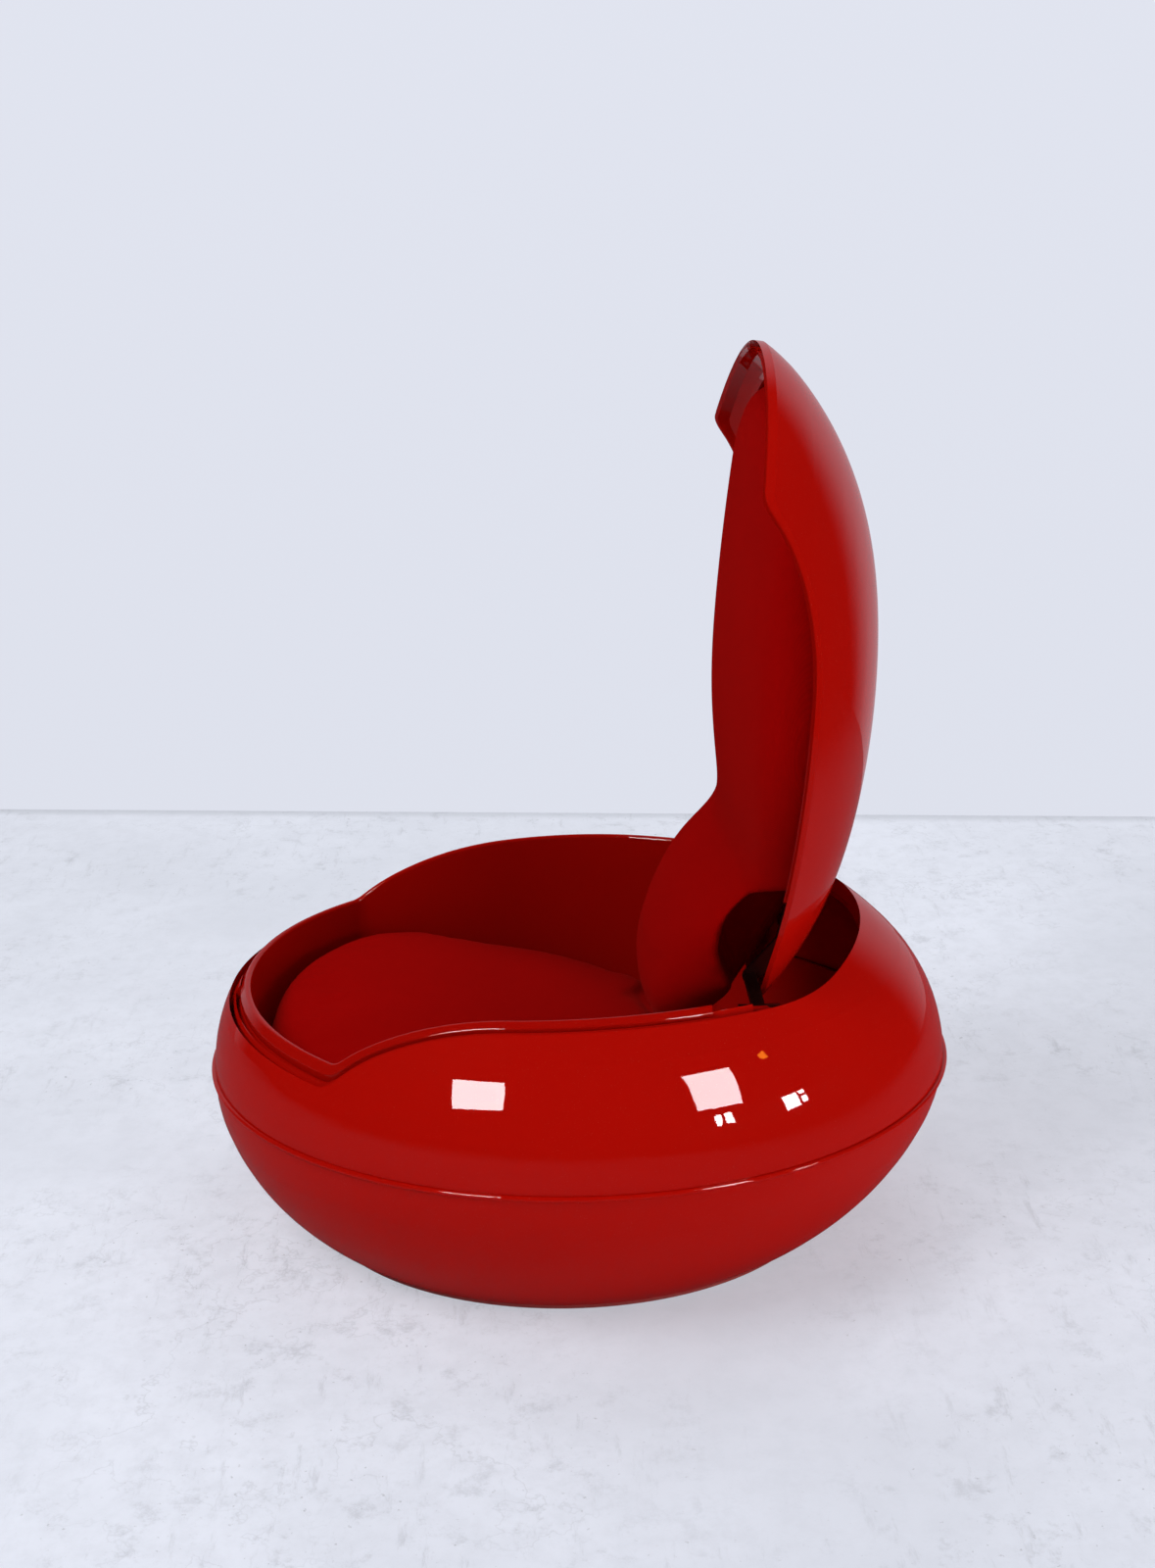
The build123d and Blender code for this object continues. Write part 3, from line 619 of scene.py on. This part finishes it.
class POD_OT_stage(bpy.types.Operator):
    """Makes the floor, the world that stands for the pale room, the lamps and the camera"""
    bl_idname = "pod.stage"
    bl_label = "Stage, lamps and camera"

    def execute(self, context):
        stage = settings()[2]
        self.floor(stage)
        self.world(stage)
        self.lamps()
        self.camera(stage)
        return {"FINISHED"}

    def floor(self, stage):
        """Floor that ends where the wall starts, with the dark joint between them."""
        shape = bmesh.new()
        wall, far = stage.wall_near, stage.floor_reach
        corners = [(wall - far * WALL_LEAN, -far), (far, -far), (far, far),
                   (wall + far * WALL_LEAN, far)]
        shape.faces.new([shape.verts.new((x, y, 0.0)) for x, y in corners])
        bmesh.ops.subdivide_edges(shape, edges=shape.edges[:], cuts=12, use_grid_fill=True)
        mesh = bpy.data.meshes.new("studio_floor")
        shape.to_mesh(mesh)
        shape.free()
        mesh.materials.append(painted_floor("floor_paint", stage.floor, wall))
        floor = bpy.data.objects.new("studio_floor", mesh)
        bpy.context.scene.collection.objects.link(floor)

    def world(self, stage):
        """Fill, stronger from a low bay on the right; gloss sees the pale wall or the dim room."""
        world = bpy.data.worlds.new("pale_room")
        bpy.context.scene.world = world
        g = Graph(world)
        across, along, up = g.axes(g.node("ShaderNodeTexCoord", out="Generated"))
        room = g.blend(up.band(-0.3, 0.9), FILL_LOW, FILL_HIGH)
        mirrored = g.blend(across.band(*MIRRORED_WALL), scaled(stage.wall, 0.9), DIM_ROOM)
        wall = g.blend(up.band(-0.45, 0.3), scaled(stage.wall, 0.97), scaled(stage.wall, 1.02))
        near_bay = across * BAY_TOWARDS[0] + along * BAY_TOWARDS[1]
        bay = near_bay.band(*BAY_SIDE) * up.band(*BAY_BOTTOM) * (1 - up.band(*BAY_TOP))
        lit, gloss, seen = (
            g.node("ShaderNodeBackground", feeds={"Color": colour, "Strength": strength})
            for colour, strength in (
                (room, bay * BAY_STRENGTH + FILL_STRENGTH), (mirrored, 1.0), (wall, 1.0)))
        both = g.either(g.ray("Is Glossy Ray"), lit, gloss)
        both = g.either(g.ray("Is Camera Ray"), both, seen)
        g.node("ShaderNodeOutputWorld", feeds={"Surface": both})

    def lamps(self):
        """Soft lamps that gloss doesn't see, then the panes and warm lamp that only gloss sees."""
        for name, towards, wide, high, power in SOFT_LAMPS:
            lamp(name, towards, SOFT_FAR, wide, high, power, PALE, gloss=False)
        for name, towards, wide, high, glow, colour, roll in PANES:
            power = glow * wide * high * math.pi
            lamp(name, towards, PANE_FAR, wide, high, power, colour, gloss=True, roll=roll)

    def camera(self, stage):
        """The photograph's own view."""
        turn, rise, roll = stage.camera_turn, stage.camera_rise, stage.camera_roll
        back = Vector((math.sin(turn) * math.cos(rise), -math.cos(turn) * math.cos(rise),
                       math.sin(rise)))
        level = Vector((math.cos(turn), math.sin(turn), 0.0))
        up = back.cross(level)
        right = level * math.cos(roll) + up * math.sin(roll)
        top = up * math.cos(roll) - level * math.sin(roll)
        data = bpy.data.cameras.new("camera")
        data.lens = stage.lens
        data.sensor_fit = "AUTO"
        data.clip_start = 0.05
        obj = bpy.data.objects.new("camera", data)
        turned = Matrix((right, top, back)).transposed().to_4x4()
        obj.matrix_world = Matrix.Translation(Vector(stage.aim) + back * stage.camera_far) @ turned
        bpy.context.scene.collection.objects.link(obj)
        bpy.context.scene.camera = obj


class POD_PT_panel(bpy.types.Panel):
    """Lists the pod chair's steps"""
    bl_idname = "POD_PT_panel"
    bl_label = "Pod chair"
    bl_space_type = "VIEW_3D"
    bl_region_type = "UI"
    bl_category = "Pod chair"

    def draw(self, context):
        for step in STEPS:
            self.layout.operator(step.bl_idname)


STEPS = (POD_OT_shells, POD_OT_hinge, POD_OT_seat, POD_OT_back, POD_OT_stage)
GROUPS = (
    ("pod_cushions", CushionSizes),
    ("pod_colours", ChairColours),
    ("pod_stage", StageSetup),
)


def register():
    """Registers the settings, the steps and the panel."""
    for name, group in GROUPS:
        bpy.utils.register_class(group)
        setattr(bpy.types.Scene, name, bpy.props.PointerProperty(type=group))
    for made in (*STEPS, POD_PT_panel):
        bpy.utils.register_class(made)


def unregister():
    """Takes them away again."""
    for made in (POD_PT_panel, *reversed(STEPS)):
        bpy.utils.unregister_class(made)
    for name, group in reversed(GROUPS):
        delattr(bpy.types.Scene, name)
        bpy.utils.unregister_class(group)


def main():
    """Registers the add-on, sets the Standard view transform and runs every step in order."""
    register()
    bpy.context.scene.view_settings.view_transform = "Standard"
    for step in STEPS:
        group, name = step.bl_idname.split(".")
        getattr(getattr(bpy.ops, group), name)()


if __name__ == "__main__":
    main()
